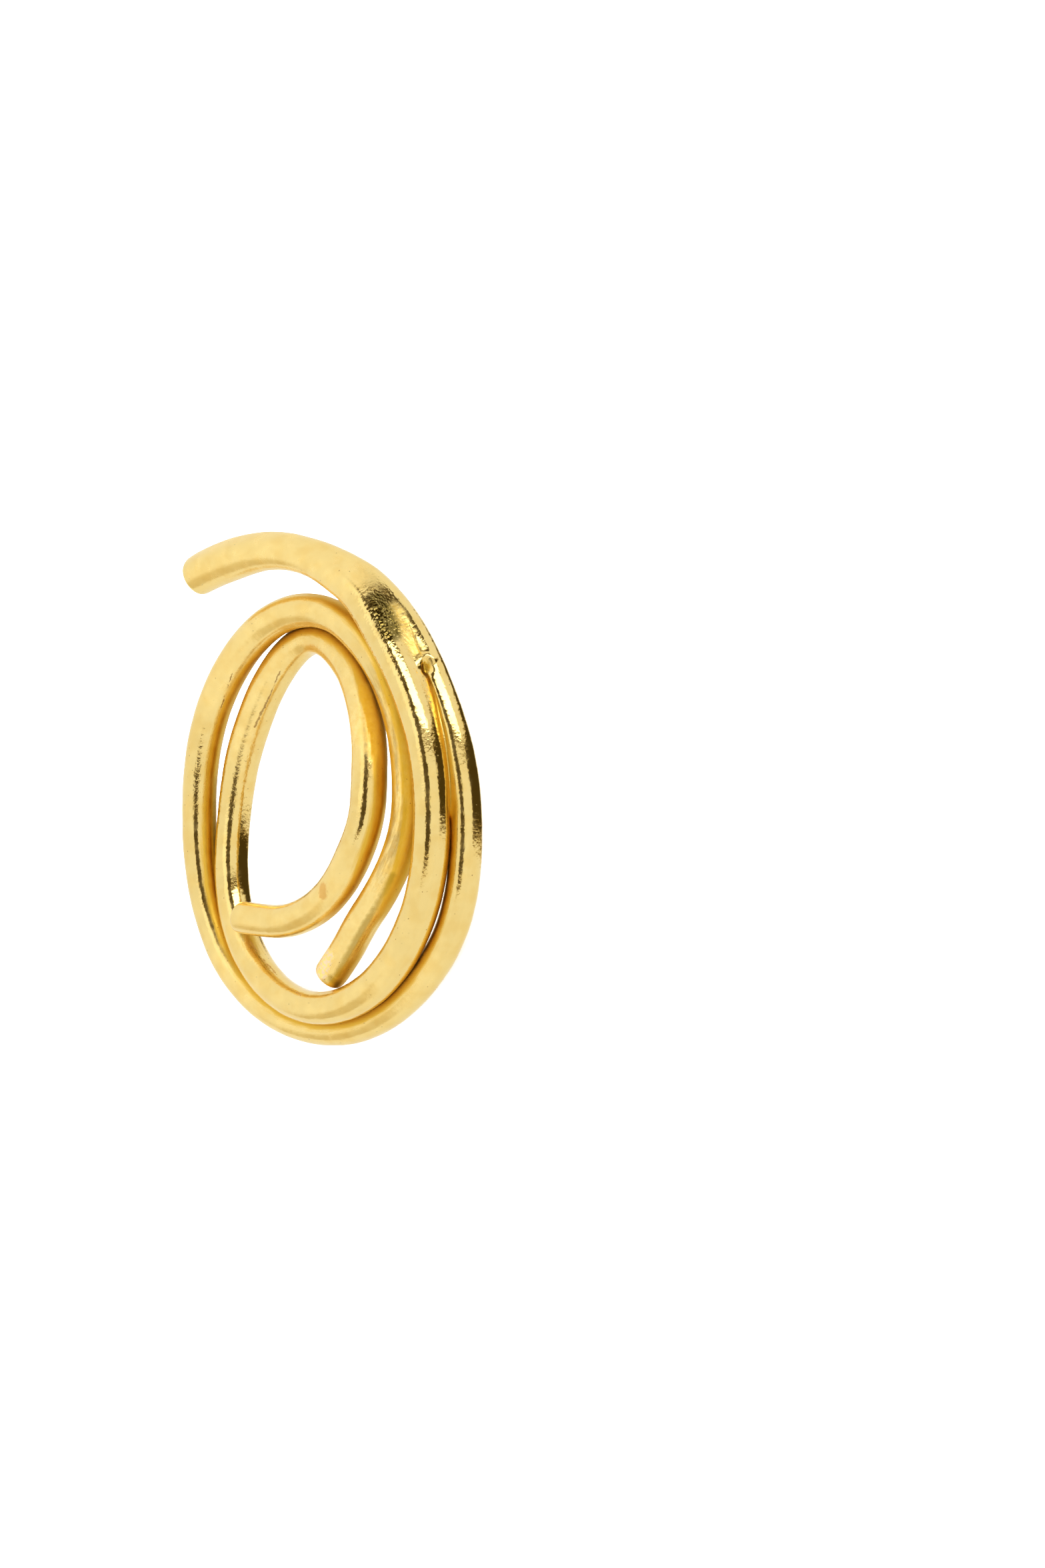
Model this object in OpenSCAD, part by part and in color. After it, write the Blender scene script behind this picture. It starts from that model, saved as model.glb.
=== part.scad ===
// Swirl earring: a hammered tail that splits into two wires, coiled one and a half times, on an ear post.
// The coil is drawn facing front, with the tail up. lying() then lays it on its back, where it rests on
// the tip of the post and the lower rim of the coil, with the tail towards +Y.

/* [Wire] */
// Diameter of the round wire
wire_d = 3; // [2.6:0.1:3.1]
// Radius of the softened rim of each cut end
rim_r = 0.5; // [0.2:0.1:0.8]
// Width of the coil as a share of its height
narrowing = 0.9; // [0.86:0.01:1]

/* [Solder] */
// Turn at which the tail's solid bar ends and the two wires part
split_turn = 44; // [38:1:50]
// Depth of the groove that the bar ends in, on each side
groove_depth = 0.5; // [0.3:0.05:0.7]
// Turn at which the solder in the groove runs out
seam_end_turn = 88; // [70:1:95]
// Radius of the solder at the split
seam_start_r = 1.2; // [0.9:0.05:1.4]
// Radius of the solder where it runs out
seam_end_r = 0.4; // [0.3:0.05:0.6]

/* [Ear post] */
// Diameter of the post
post_d = 0.9; // [0.7:0.05:1.1]
// Length of the post below its pad
post_length = 9; // [8:0.5:10]
// Length of the pointed tip within that
tip_length = 0.3; // [0.1:0.1:0.6]
// Diameter of the tip's end
tip_d = 0.5; // [0.3:0.1:0.6]
// Diameter of the solder pad
pad_d = 2.4; // [2:0.1:3]
// Thickness of the solder pad
pad_h = 0.6; // [0.4:0.1:1]
// Gap between the pad and its flat seat on the strand
seat_gap = 0.05; // [0.02:0.01:0.1]

/* [Lying] */
// Tilt of the earring on its post, about the left to right axis
tilt = 12.1; // [10:0.1:15]
// Roll of the earring towards its right side
roll = 4.4; // [0:0.1:6]

/* [Hidden] */

// Columns of the two strand tables
TURN = 0; // degrees clockwise from the top of the coil, seen from the front
REACH = 1; // distance from the middle of the coil, before the narrowing
DEPTH = 2; // distance towards the front
THICK = 3; // diameter as a share of the wire's, because hammering spread it here and there

// The outer strand: at the back in the tail and at the split, round the outside, then down the inside
outer_strand = [
    [-38, 28.5, -0.6, 1.23],
    [-28, 27.0, -0.7, 1.22],
    [-15, 25.4, -0.8, 1.08],
    [-5, 24.1, -0.9, 1.0],
    [5, 22.9, -1.3, 1.02],
    [14, 21.9, -1.9, 1.02],
    [29, 20.05, -2.45, 1.02],
    [43, 18.8, -2.5, 1],
    [59, 18.0, -2.6, 1],
    [90, 17.95, -2.6, 1],
    [120, 18.8, -2.6, 1],
    [150, 18.8, -2.5, 1],
    [180, 19.0, -2.6, 1.03],
    [225, 19.8, -2.1, 1.04],
    [245, 19.4, -1.9, 1.05],
    [270, 18.9, -1.7, 1.06],
    [300, 19.6, -1.7, 1.07],
    [330, 19.95, -1.8, 1.08],
    [345, 19.55, -1.8, 1.05],
    [360, 18.5, -1.8, 1],
    [380, 16.2, -1.7, 1],
    [405, 13.7, -1.6, 1],
    [430, 12.1, -1.3, 1],
    [450, 11.8, -0.8, 1],
    [480, 11.2, -0.1, 1.03],
    [505, 11.2, 0, 1.04],
    [522, 12.7, 0, 1.03],
    [532, 14.1, 0, 1.02],
];

// The inner strand: at the front in the tail and at the split, round inside the other, then in to the front
inner_strand = [
    [-38, 28.3, -0.4, 1.23],
    [-28, 26.7, -0.4, 1.22],
    [-15, 25.1, -0.4, 1.08],
    [-5, 23.7, -0.5, 1.0],
    [5, 22.2, -0.4, 1.02],
    [15, 20.9, -0.2, 1.02],
    [30, 18.7, 0, 1.02],
    [45, 17.4, 0, 1.02],
    [60, 16.7, 0, 1.05],
    [90, 16.1, 0, 1.12],
    [125, 16.6, -0.05, 1.12],
    [150, 17.1, 0.15, 1.08],
    [180, 17.1, 0.1, 1],
    [225, 16.2, -1.1, 1.06],
    [270, 14.7, -2.45, 1.03],
    [300, 15.1, -2.95, 1.1],
    [315, 15.95, -3.3, 1.1],
    [330, 17.05, -3.75, 1.08],
    [345, 17.1, -3.7, 1],
    [365, 14.3, -2.6, 1],
    [390, 11.3, -1.0, 1.04],
    [420, 8.8, 0.2, 1.1],
    [450, 7.8, 0.8, 1.1],
    [480, 7.1, 1.05, 1.12],
    [515, 7.55, 1.15, 1.08],
    [545, 8.8, 1.1, 1.04],
    [575, 11.2, 1.1, 1],
    [586, 12.9, 1.1, 1],
];

// Sides of each wire, the length of its steps, and the steps of a softened rim
wire_sides = 18;
step_length = 2.4;
rim_steps = 3;
seam_steps = 12;
seam_sides = 12;
round_sides = 48;

tail_turn = outer_strand[0][TURN];
outer_end_turn = outer_strand[len(outer_strand) - 1][TURN];
inner_end_turn = inner_strand[len(inner_strand) - 1][TURN];
// The strands start this far inside the tail, before the split, and this much thinner
strand_lead = 16;
start_inset = 0.25;
strand_start_turn = split_turn - strand_lead;

// The post stands on a flat seat on the back of the outer strand, at the top of the coil, above its
// centre of mass as worn
seat_turn = 358;
seat_depth = -2.7;
seat_cut_d = 3.2;

// Where the lying earring is, so that its box is centred and its lowest point is at zero
shift_x = 0.62;
shift_y = -3.1;
shift_z = 8.17;

front = [0, 0, 1];

function unit(v) = v / norm(v);

// The last row that begins at or before a turn, short of the table's last row
function row_before(rows, turn, i = 0) =
    i >= len(rows) - 2 || rows[i + 1][TURN] > turn ? i : row_before(rows, turn, i + 1);

// Slope of a column at a row, from the rows on both sides of it
function slope(rows, column, i) =
    let (a = max(i - 1, 0), b = min(i + 1, len(rows) - 1))
    (rows[b][column] - rows[a][column]) / (rows[b][TURN] - rows[a][TURN]);

// A column's smooth value at any turn
function at(rows, column, turn) =
    let (
        i = row_before(rows, turn),
        span = rows[i + 1][TURN] - rows[i][TURN],
        s = (turn - rows[i][TURN]) / span,
        rise = rows[i + 1][column] - rows[i][column],
        m0 = slope(rows, column, i) * span,
        m1 = slope(rows, column, i + 1) * span
    )
    rows[i][column] + m0 * s + (3 * rise - 2 * m0 - m1) * s * s + (m0 + m1 - 2 * rise) * s * s * s;

// A strand's centre line
function place(rows, turn) =
    let (reach = at(rows, REACH, turn))
    [narrowing * reach * sin(turn), reach * cos(turn), at(rows, DEPTH, turn)];

// Its direction, and the outward and forward directions across it
function heading(rows, turn) = unit(place(rows, turn + 0.5) - place(rows, turn - 0.5));
function outward(rows, turn) = unit(cross(front, heading(rows, turn)));
function forward(rows, turn) = cross(heading(rows, turn), outward(rows, turn));

// The turns at which a strand gets a section, about one step apart along the wire
function stations(rows, from, to) =
    let (
        length = norm(place(rows, from) - place(rows, (from + to) / 2))
            + norm(place(rows, to) - place(rows, (from + to) / 2)),
        middle_reach = at(rows, REACH, (from + to) / 2),
        count = ceil(max(length, (to - from) * PI / 180 * middle_reach) / step_length)
    )
    [for (i = [0 : count]) from + (to - from) * i / count];

// A strand's radius
function wire_r(rows, turn) = wire_d / 2 * at(rows, THICK, turn);

// One ring round a strand, moved along it and drawn in by the softened rim of an end
function wire_ring(rows, turn, along, inset) =
    [for (k = [0 : wire_sides - 1])
        place(rows, turn) + along * heading(rows, turn)
        + (wire_r(rows, turn) - inset) * (cos(360 * k / wire_sides) * outward(rows, turn)
            + sin(360 * k / wire_sides) * forward(rows, turn))];

// How far a strand is drawn in at a turn, so that its start lies inside the tail's skin
function start_draw(turn) = start_inset * max(0, (split_turn - turn) / strand_lead);

// How far the tail's waist is drawn in to a groove at a turn, growing smoothly to the split
function waist_draw(turn) =
    let (s = max(0, min(1, (turn - strand_start_turn) / (split_turn - strand_start_turn))))
    groove_depth * s * s * (3 - 2 * s);

// One ring round both strands of the tail, half of it round each
function tail_ring(turn, along, inset) =
    let (
        r = wire_r(inner_strand, turn) - inset,
        apart = place(outer_strand, turn) - place(inner_strand, turn),
        middle = (place(outer_strand, turn) + place(inner_strand, turn)) / 2,
        across = outward(outer_strand, turn),
        ahead = forward(outer_strand, turn)
    )
    [for (k = [0 : wire_sides - 1])
        let (
            spoke = cos(360 * k / wire_sides) * across + sin(360 * k / wire_sides) * ahead,
            waist = 1 - abs(spoke * unit(apart))
        )
        middle + sign(spoke * apart) * apart / 2 + along * heading(outer_strand, turn)
            + (r - waist_draw(turn) * waist) * spoke];

// The rings of an end's softened rim, from the flat of the cut inwards
function rim_angles() = [for (i = [rim_steps : -1 : 1]) 90 * i / rim_steps];

module skin(rings) {
    sides = len(rings[0]);
    last = len(rings) - 1;
    points = [for (ring = rings) for (p = ring) p];
    walls = [for (i = [0 : last - 1]) for (k = [0 : sides - 1])
        let (a = i * sides + k, b = i * sides + (k + 1) % sides)
        each [[a, a + sides, b], [b, a + sides, b + sides]]];
    start = [for (k = [0 : sides - 1]) k];
    finish = [for (k = [sides - 1 : -1 : 0]) last * sides + k];
    polyhedron(points = points, faces = concat([start], walls, [finish]), convexity = 10);
}

module tail() {
    turns = stations(outer_strand, tail_turn, split_turn);
    rim = [for (a = rim_angles())
        tail_ring(tail_turn, -rim_r * sin(a), rim_r * (1 - cos(a)))];
    skin(concat(rim, [for (t = turns) tail_ring(t, 0, 0)]));
}

module strand(rows, end_turn) {
    turns = stations(rows, strand_start_turn, end_turn);
    rim = [for (i = [1 : rim_steps])
        let (a = 90 * i / rim_steps)
        wire_ring(rows, end_turn, rim_r * sin(a), rim_r * (1 - cos(a)))];
    skin(concat([for (t = turns) wire_ring(rows, t, 0, start_draw(t))], rim));
}

// Solder in the groove between the two strands, running out below the split
module solder_seam() {
    turns = [for (i = [0 : seam_steps]) split_turn + (seam_end_turn - split_turn) * i / seam_steps];
    for (i = [0 : seam_steps - 1])
        hull() {
            solder_bead(turns[i]);
            solder_bead(turns[i + 1]);
        }
}

module solder_bead(turn) {
    s = (turn - split_turn) / (seam_end_turn - split_turn);
    middle = (place(outer_strand, turn) + place(inner_strand, turn)) / 2;
    translate(middle) sphere(r = seam_start_r + (seam_end_r - seam_start_r) * sqrt(s), $fn = seam_sides);
}

// The point on the back of the outer strand that the post stands on
function seat() =
    let (p = place(outer_strand, seat_turn))
    [p[0], p[1], seat_depth];

module lying() {
    translate([shift_x, shift_y, shift_z]) rotate([tilt, roll, 0]) children();
}

module swirl() {
    color("gold") lying() union() {
        tail();
        difference() {
            strand(outer_strand, outer_end_turn);
            translate(seat() - [0, 0, wire_d]) cylinder(d = seat_cut_d, h = wire_d, $fn = round_sides);
        }
        strand(inner_strand, inner_end_turn);
        solder_seam();
    }
}

module ear_post() {
    color("gold") lying() translate(seat() - [0, 0, seat_gap]) mirror([0, 0, 1]) {
        cylinder(d = pad_d, h = pad_h, $fn = round_sides);
        cylinder(d = post_d, h = pad_h + post_length - tip_length, $fn = round_sides);
        translate([0, 0, pad_h + post_length - tip_length])
            cylinder(d1 = post_d, d2 = tip_d, h = tip_length, $fn = round_sides);
    }
}

swirl();
ear_post();
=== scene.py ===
"""A swirl stud earring in polished gold, lying on its back on a pale surface."""

import math

import bmesh
import bpy
from mathutils import Matrix, Vector
from mathutils.bvhtree import BVHTree


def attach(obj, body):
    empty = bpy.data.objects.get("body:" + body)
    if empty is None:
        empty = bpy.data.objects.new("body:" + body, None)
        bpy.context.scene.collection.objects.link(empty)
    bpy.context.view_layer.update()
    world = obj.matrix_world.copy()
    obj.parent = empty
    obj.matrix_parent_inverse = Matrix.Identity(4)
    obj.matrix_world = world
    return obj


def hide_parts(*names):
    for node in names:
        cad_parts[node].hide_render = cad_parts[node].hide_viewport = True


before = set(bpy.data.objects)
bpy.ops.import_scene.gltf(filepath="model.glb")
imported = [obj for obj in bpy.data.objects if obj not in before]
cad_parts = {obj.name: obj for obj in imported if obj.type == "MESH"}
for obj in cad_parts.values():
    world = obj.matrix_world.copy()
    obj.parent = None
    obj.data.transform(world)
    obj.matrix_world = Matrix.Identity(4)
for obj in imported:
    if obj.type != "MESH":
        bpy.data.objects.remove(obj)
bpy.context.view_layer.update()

# The way the earring lies. Its own frame has X to the wearer's left, Y up and Z forward as it is worn,
# in millimetres, with the middle of the coil at zero. On its back it rests on the tip of the ear post
# and on the lower rim of the coil, so that frame is tilted, rolled and lifted.
MM = 0.001
TILT = math.radians(12.1)
ROLL = math.radians(4.4)
COIL_MIDDLE = Vector((0.62, -3.1, 8.17)) * MM
LYING = Matrix.Rotation(ROLL, 4, "Y") @ Matrix.Rotation(TILT, 4, "X")
WORN_TO_ROW = Matrix.Translation(COIL_MIDDLE) @ LYING @ Matrix.Scale(MM, 4)

# The camera looks at the coil from 45 degrees to one side of its front, level with it as worn, through
# a long lens. The coil's middle falls on the same pixel as in the photograph, left of the picture's centre.
IMAGE_W, IMAGE_H = 1568, 2352
COIL_PIXEL = (475.7, 1228.5)
PIXELS_PER_MM = 16.6
YAW = math.radians(45)
LENS = 200
SENSOR = 36
to_camera = (LYING @ Vector((math.sin(YAW), 0, math.cos(YAW)))).normalized()
picture_right = (LYING @ Vector((math.cos(YAW), 0, -math.sin(YAW)))).normalized()
picture_up = to_camera.cross(picture_right)
picture_height = IMAGE_H / PIXELS_PER_MM * MM
camera_distance = picture_height * LENS / SENSOR
off_right = (COIL_PIXEL[0] - IMAGE_W / 2) / IMAGE_H * SENSOR / LENS
off_up = (IMAGE_H / 2 - COIL_PIXEL[1]) / IMAGE_H * SENSOR / LENS
bpy.ops.object.select_all(action="DESELECT")
bpy.ops.object.camera_add(location=COIL_MIDDLE + to_camera * camera_distance)
camera = bpy.context.object
look = (-to_camera - picture_right * off_right - picture_up * off_up).normalized()
side = look.cross(picture_up).normalized()
camera.rotation_euler = Matrix((side, side.cross(look), -look)).transposed().to_euler()
camera.data.lens = LENS
camera.data.sensor_width = SENSOR
camera.data.clip_start = 0.05
camera.data.clip_end = 50
bpy.context.scene.camera = camera

# The pale surface that it lies on, much wider than the picture. It is matt and nearly white. The metal
# mirrors the tent's own white bottom in its place.
FLOOR_W = 12
PALE = (0.9, 0.9, 0.895, 1)
bpy.ops.object.select_all(action="DESELECT")
bpy.ops.mesh.primitive_plane_add(size=FLOOR_W, location=(0, 0, 0))
floor = bpy.context.object
floor.name = "floor"
pale = bpy.data.materials.new("pale_floor")
pale.use_nodes = True
pale_shader = pale.node_tree.nodes["Principled BSDF"]
pale_shader.inputs["Base Color"].default_value = PALE
pale_shader.inputs["Roughness"].default_value = 0.9
pale_shader.inputs["Specular IOR Level"].default_value = 0.1
floor.data.materials.append(pale)
floor.visible_glossy = False

# The studio is a white tent with a large brown flag and one bright window, which polished metal mirrors.
# Each row is a soft-edged card, placed by its angles in degrees: around, to the camera's right, and above.
# Those of the first table stop at the surface, below which the tent is white, and the one of the second
# hangs in front of that. The floor and the backdrop are lit by an even white light instead.
CARDS = [
    # around from, to, above from, to, fade of the edges, brightness
    (-150, -64, -72, -30, 9, 0.72),  # the tent's dimmer side, low on the left
    (-62, -37, 8, 60, 5, 1.22),  # a white panel on the left
    (-37, 150, -12, 78, 3, 0.08),  # the flag
    (-12, 50, 33, 57, 3, 3.6),  # the window over the camera
    (-10, 46, -18, 27, 2, 0.95),  # a white panel round the camera
    (-179, 179, 80, 91, 1.5, 1.05),  # the tent's top
]
LOW_CARDS = [
    (50, 147, -2, 30, 3, 0.07),  # the flag's foot
]
TENT = 0.95
BOTTOM = 0.98
HORIZON_FADE = 0.01
PLAIN_LIGHT = 4.2
# brightness of what is mirrored, and the tint that it has there: the darks are brown
TINTS = [(0.08, (1, 0.7, 0.2, 1)), (0.72, (1, 0.88, 0.64, 1)), (0.95, (1, 1, 1, 1))]
world = bpy.data.worlds.new("tent")
bpy.context.scene.world = world
world.use_nodes = True
tree = world.node_tree
tree.nodes.clear()


def world_math(operation, *values):
    """Adds a sum to the world's nodes, fed with values or outputs, and gives back its output."""
    node = tree.nodes.new("ShaderNodeMath")
    node.operation = operation
    for socket, value in zip(node.inputs, values):
        if isinstance(value, (int, float)):
            socket.default_value = value
        else:
            tree.links.new(value, socket)
    return node.outputs[0]


direction = tree.nodes.new("ShaderNodeTexCoord").outputs["Generated"]


def share_along(axis):
    """How far the direction that is looked in points along an axis, from -1 to 1."""
    node = tree.nodes.new("ShaderNodeVectorMath")
    node.operation = "DOT_PRODUCT"
    tree.links.new(direction, node.inputs[0])
    node.inputs[1].default_value = axis
    return node.outputs["Value"]


around = world_math("DEGREES", world_math("ARCTAN2", share_along(picture_right), share_along(to_camera)))
above = world_math("DEGREES", world_math("ARCSINE", share_along(picture_up)))


def past(angle, edge, fade):
    """0 before an edge and 1 past it, rising smoothly across the fade."""
    node = tree.nodes.new("ShaderNodeMapRange")
    node.interpolation_type = "SMOOTHSTEP"
    tree.links.new(angle, node.inputs["Value"])
    node.inputs["From Min"].default_value = edge - fade
    node.inputs["From Max"].default_value = edge + fade
    return node.outputs["Result"]


def hang(cards, glow):
    """The brightness in each direction once these cards hang in front of it."""
    for left, right, low, high, fade, brightness in cards:
        inside = world_math(
            "MULTIPLY",
            world_math("SUBTRACT", past(around, left, fade), past(around, right, fade)),
            world_math("SUBTRACT", past(above, low, fade), past(above, high, fade)),
        )
        covered = world_math("MULTIPLY", inside, brightness)
        glow = world_math("ADD", world_math("MULTIPLY", world_math("SUBTRACT", 1, inside), glow), covered)
    return glow


upper = past(share_along((0, 0, 1)), 0, HORIZON_FADE)
glow = world_math("MULTIPLY", upper, hang(CARDS, TENT))
glow = hang(LOW_CARDS, world_math("MULTIPLY_ADD", world_math("SUBTRACT", 1, upper), BOTTOM, glow))
tint = tree.nodes.new("ShaderNodeValToRGB")
tint.color_ramp.elements.new(TINTS[1][0])
for stop, (brightness, tone) in zip(tint.color_ramp.elements, TINTS):
    stop.position, stop.color = brightness, tone
tree.links.new(glow, tint.inputs[0])
mirrored = tree.nodes.new("ShaderNodeBackground")
tree.links.new(tint.outputs[0], mirrored.inputs["Color"])
tree.links.new(glow, mirrored.inputs["Strength"])
plain = tree.nodes.new("ShaderNodeBackground")
plain.inputs["Color"].default_value = (1, 1, 1, 1)
plain.inputs["Strength"].default_value = PLAIN_LIGHT
path = tree.nodes.new("ShaderNodeLightPath")
choice = tree.nodes.new("ShaderNodeMixShader")
tree.links.new(path.outputs["Is Glossy Ray"], choice.inputs["Fac"])
tree.links.new(plain.outputs[0], choice.inputs[1])
tree.links.new(mirrored.outputs[0], choice.inputs[2])
tree.links.new(choice.outputs[0], tree.nodes.new("ShaderNodeOutputWorld").inputs["Surface"])
bpy.context.scene.view_settings.view_transform = "Standard"

# The swirl is one piece of solid brass, polished and gold plated. Two round wires are soldered side by
# side and forged into one bar at the tail. Below the split they part, coil round one and a half times
# inside each other, and end in cuts whose rims are softened.
# Each row of a wire is one section: its turn in degrees clockwise from the top of the coil as seen from
# the front, its distance from the coil's middle, its distance forward, and its share of the wire's size.
TURN, REACH, DEPTH, THICK = range(4)
OUTER, INNER = 1, -1
WIRE_D = 3.0
NARROWING = 0.9
FINE_STEPS = 400
OUTER_WIRE = [
    (-38, 28.5, -0.6, 1.23),
    (-28, 27.0, -0.7, 1.22),
    (-15, 25.4, -0.8, 1.08),
    (-5, 24.1, -0.9, 1.0),
    (5, 22.9, -1.3, 1.02),
    (14, 21.9, -1.9, 1.02),
    (29, 20.05, -2.45, 1.02),
    (43, 18.8, -2.5, 1),
    (59, 18.0, -2.6, 1),
    (90, 17.95, -2.6, 1),
    (120, 18.8, -2.6, 1),
    (150, 18.8, -2.5, 1),
    (180, 19.0, -2.6, 1.03),
    (225, 19.8, -2.1, 1.04),
    (245, 19.4, -1.9, 1.05),
    (270, 18.9, -1.7, 1.06),
    (300, 19.6, -1.7, 1.07),
    (330, 19.95, -1.8, 1.08),
    (345, 19.55, -1.8, 1.05),
    (360, 18.5, -1.8, 1),
    (380, 16.2, -1.7, 1),
    (405, 13.7, -1.6, 1),
    (430, 12.1, -1.3, 1),
    (450, 11.8, -0.8, 1),
    (480, 11.2, -0.1, 1.03),
    (505, 11.2, 0, 1.04),
    (522, 12.7, 0, 1.03),
    (532, 14.1, 0, 1.02),
]
INNER_WIRE = [
    (-38, 28.3, -0.4, 1.23),
    (-28, 26.7, -0.4, 1.22),
    (-15, 25.1, -0.4, 1.08),
    (-5, 23.7, -0.5, 1.0),
    (5, 22.2, -0.4, 1.02),
    (15, 20.9, -0.2, 1.02),
    (30, 18.7, 0, 1.02),
    (45, 17.4, 0, 1.02),
    (60, 16.7, 0, 1.05),
    (90, 16.1, 0, 1.12),
    (125, 16.6, -0.05, 1.12),
    (150, 17.1, 0.15, 1.08),
    (180, 17.1, 0.1, 1),
    (225, 16.2, -1.1, 1.06),
    (270, 14.7, -2.45, 1.03),
    (300, 15.1, -2.95, 1.1),
    (315, 15.95, -3.3, 1.1),
    (330, 17.05, -3.75, 1.08),
    (345, 17.1, -3.7, 1),
    (365, 14.3, -2.6, 1),
    (390, 11.3, -1.0, 1.04),
    (420, 8.8, 0.2, 1.1),
    (450, 7.8, 0.8, 1.1),
    (480, 7.1, 1.05, 1.12),
    (515, 7.55, 1.15, 1.08),
    (545, 8.8, 1.1, 1.04),
    (575, 11.2, 1.1, 1),
    (586, 12.9, 1.1, 1),
]


def at(rows, column, turn):
    """A column's smooth value at a turn: a cubic between the rows, with slopes from their neighbours."""
    i = max(k for k in range(len(rows) - 1) if k == 0 or rows[k][TURN] <= turn)

    def slope(k):
        before, after = rows[max(k - 1, 0)], rows[min(k + 1, len(rows) - 1)]
        return (after[column] - before[column]) / (after[TURN] - before[TURN])

    span = rows[i + 1][TURN] - rows[i][TURN]
    s = (turn - rows[i][TURN]) / span
    rise = rows[i + 1][column] - rows[i][column]
    m0, m1 = slope(i) * span, slope(i + 1) * span
    return rows[i][column] + m0 * s + (3 * rise - 2 * m0 - m1) * s * s + (m0 + m1 - 2 * rise) * s ** 3


def centre(rows, turn):
    """The middle of a wire at a turn. The coil is a little narrower than it is tall."""
    reach = at(rows, REACH, turn)
    angle = math.radians(turn)
    return Vector((NARROWING * reach * math.sin(angle), reach * math.cos(angle), at(rows, DEPTH, turn)))


def heading(rows, turn):
    """The direction in which a wire runs at a turn."""
    return (centre(rows, turn + 0.5) - centre(rows, turn - 0.5)).normalized()


def radius(rows, turn):
    """A wire's radius at a turn."""
    return WIRE_D / 2 * at(rows, THICK, turn)


def stations(rows, start, end, step):
    """Turns from start to end, about one step apart along the wire."""
    fine = [start + (end - start) * i / FINE_STEPS for i in range(FINE_STEPS + 1)]
    run = [0]
    for a, b in zip(fine, fine[1:]):
        run.append(run[-1] + (centre(rows, b) - centre(rows, a)).length)
    count = max(2, round(run[-1] / step))
    turns = []
    for n in range(count + 1):
        wanted = run[-1] * n / count
        i = max(k for k in range(FINE_STEPS) if run[k] <= wanted)
        turns.append(fine[i] + (fine[i + 1] - fine[i]) * (wanted - run[i]) / (run[i + 1] - run[i]))
    return turns


def smooth_step(value, start, end):
    """0 up to the start and 1 past the end, rising smoothly between."""
    s = min(1, max(0, (value - start) / (end - start)))
    return s * s * (3 - 2 * s)


# The bar's section has thirteen points on each wire and one on each side in the waist between them.
# Where the wires part, the waist's points and one between them close each wire to a ring of sixteen.
# Each point also keeps its place on the unrolled metal, in millimetres along, across and forward, which
# the finish follows.
ARC = 6
ARC_POINTS = 2 * ARC + 1
WAIST_FRONT, WAIST_BACK, WAIST_MIDDLE = ARC_POINTS, 2 * ARC_POINTS + 1, 2 * ARC_POINTS + 2
SECTION_POINTS = 2 * ARC_POINTS + 2
RING_POINTS = ARC_POINTS + 3
RING_STEP = 360 / RING_POINTS
BAR_STEP = 90 / (ARC + 1)
TAIL_TURN = OUTER_WIRE[0][TURN]
PINCH_TURNS = (14, 44)
SPLIT_TURN = 88
# turn, distance of the waist from the bar's middle as a share of its radius, and its shift to the outer wire
WAIST_ROWS = [
    (14, 1.0, 0),
    (24, 0.98, 0.5),
    (33, 0.87, 0.9),
    (40.5, 0.84, 1.0),
    (42.5, 0.88, 1.0),
    (45, 0.56, 0.95),
    (52, 0.5, 0.7),
    (62, 0.46, 0.3),
    (76, 0.36, 0.05),
    (88, 0.15, 0),
]
# from turn, to turn, and the distance between the bar's sections there
BAR_STRETCHES = [(-38, 10, 1.4), (10, 38, 0.9), (38, 48, 0.4), (48, 88, 0.9)]
WIRE_STEP = 1.5
RIM_R = 0.5
# a cut end's rounded rim, as shares of RIM_R: how far out along the wire, and how far in from its skin
RIM_ROWS = [(0.62, 0.16), (0.95, 0.55), (1, 1.1)]
SUBDIVISIONS = 2
# on the unrolled metal the two wires draw apart by this much over these turns, so that no mark on one of
# them spills over to the other
SIDE_GAP = 0.3
GAP_TURNS = (SPLIT_TURN, SPLIT_TURN + 20)


def cage_gain(step):
    """How far a subdivided ring shrinks from a cage with this angle between its points, undone."""
    return 3 / (2 + math.cos(math.radians(step)))


def waist(turn):
    """How far out the waist is at a turn, and its shift."""
    for (t0, out0, shift0), (t1, out1, shift1) in zip(WAIST_ROWS, WAIST_ROWS[1:]):
        if turn <= t1:
            s = smooth_step(turn, t0, t1)
            return out0 + (out1 - out0) * s, shift0 + (shift1 - shift0) * s
    return WAIST_ROWS[-1][1:]


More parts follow.
